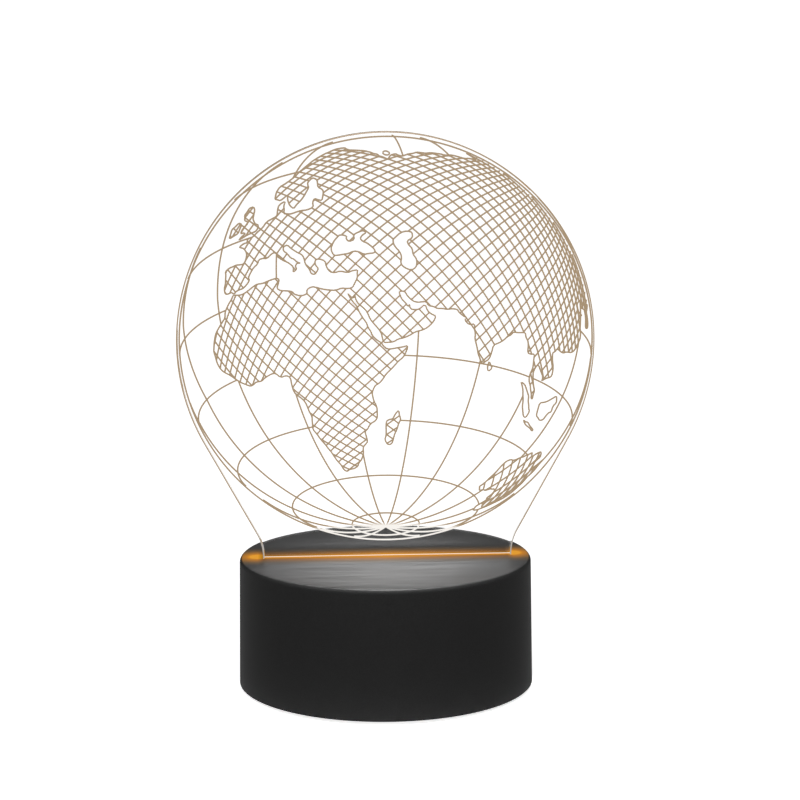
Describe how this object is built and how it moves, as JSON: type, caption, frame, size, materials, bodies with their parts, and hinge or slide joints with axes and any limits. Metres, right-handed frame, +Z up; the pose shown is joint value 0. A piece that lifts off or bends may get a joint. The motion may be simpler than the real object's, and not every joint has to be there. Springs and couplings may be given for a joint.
{
  "type": "globe desk lamp",
  "caption": "Edge-lit clear panel cut and engraved as a world globe, standing in the lit slot of a round black base with a push button and a supply inlet at the back.",
  "frame": {"origin": "on the surface that the lamp stands on, under the middle of the base", "axes": "+Z up, -Y towards the front, +X to the right; the panel lies in the XZ plane"},
  "size_m": [0.1216, 0.087, 0.1628],
  "materials": {
    "clear_acrylic": "polished clear cast acrylic, laser-cut edge, laser-engraved face",
    "black_abs": "moulded black ABS, fine matte side and satin top",
    "black_abs_cover": "moulded black ABS, spark-textured",
    "grey_rubber": "matte self-adhesive rubber pad",
    "zinc_plated_steel": "zinc-plated cross-recess screw",
    "white_board": "white solder mask on glass-fibre laminate",
    "led_package": "warm light-emitting package, lit",
    "green_board": "green solder mask on glass-fibre laminate",
    "black_moulding": "moulded electronic component body",
    "capacitor_sleeve": "dark blue shrink sleeve",
    "button_plastic": "satin black moulded cap",
    "tinned_steel": "tinned stamped steel",
    "lead_red": "red insulated wire",
    "lead_green": "green insulated wire",
    "lead_blue": "blue insulated wire",
    "lead_white": "white insulated wire"
  },
  "bodies": {
    "base": {"top_shell": "black_abs", "bottom_cover": "black_abs_cover", "foot_1": "grey_rubber", "foot_2": "grey_rubber", "foot_3": "grey_rubber", "foot_4": "grey_rubber", "cover_screw_1": "zinc_plated_steel", "cover_screw_2": "zinc_plated_steel", "cover_screw_3": "zinc_plated_steel", "cover_screw_4": "zinc_plated_steel", "led_board_screw_1": "zinc_plated_steel", "led_board_screw_2": "zinc_plated_steel", "control_board_screw_1": "zinc_plated_steel", "control_board_screw_2": "zinc_plated_steel", "led_board": "white_board", "led_1": "led_package", "led_2": "led_package", "led_3": "led_package", "led_4": "led_package", "led_5": "led_package", "led_6": "led_package", "led_7": "led_package", "led_8": "led_package", "control_board": "green_board", "controller_chip": "black_moulding", "resistor_1": "black_moulding", "resistor_2": "black_moulding", "resistor_3": "black_moulding", "capacitor": "capacitor_sleeve", "switch_body": "black_moulding", "inlet_shell": "tinned_steel", "inlet_tongue": "black_moulding", "lead_red": "lead_red", "lead_green": "lead_green", "lead_blue": "lead_blue", "lead_white": "lead_white"},
    "panel": {"acrylic_panel": "clear_acrylic"},
    "button": {"button_cap": "button_plastic", "switch_plunger": "black_moulding"}
  },
  "joints": [
    {"name": "panel_lift", "type": "slide", "parent": "base", "child": "panel", "axis": [0, 0, 1], "range_m": [0, 0.015]},
    {"name": "button_press", "type": "slide", "parent": "base", "child": "button", "axis": [0, -1, 0], "range_m": [0, 0.0005], "stiffness_N_per_m": 1500, "springref_m": -0.0002}
  ]
}
